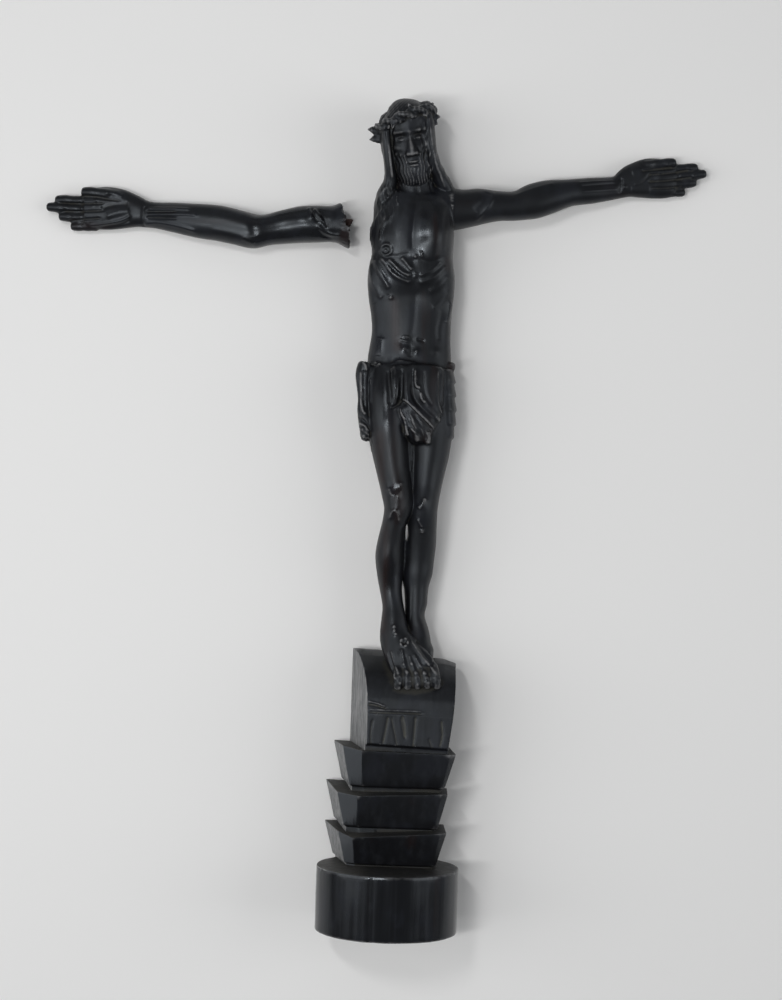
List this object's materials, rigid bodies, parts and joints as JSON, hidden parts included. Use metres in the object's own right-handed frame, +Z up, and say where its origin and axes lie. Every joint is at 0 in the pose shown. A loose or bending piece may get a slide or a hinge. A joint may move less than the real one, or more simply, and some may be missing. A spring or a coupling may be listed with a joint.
{
  "type": "crucifix corpus figure",
  "caption": "Carved wooden crucifix figure on a stepped console with a round foot. An arm is fixed at the shoulder, the other is broken off and lies beside the figure.",
  "frame": {"origin": "middle of the whole, lying on its back on the table", "axes": "+Y from the console's round foot to the crown, +Z up from the table through the figure's front, +X across towards the arm that is still fixed"},
  "size_m": [0.3934, 0.4858, 0.072],
  "materials": {
    "carved_ebony": "dark close-grained wood, waxed and polished by handling, dusty in the hollows",
    "arm_ebony": "the same dark wood, a little duller",
    "peg_wood": "broken reddish brown wood, bare"
  },
  "bodies": {
    "root": {"corpus_and_console": "carved_ebony", "fixed_arm": "arm_ebony", "broken_arm": "arm_ebony", "peg_stub": "peg_wood"}
  },
  "joints": []
}
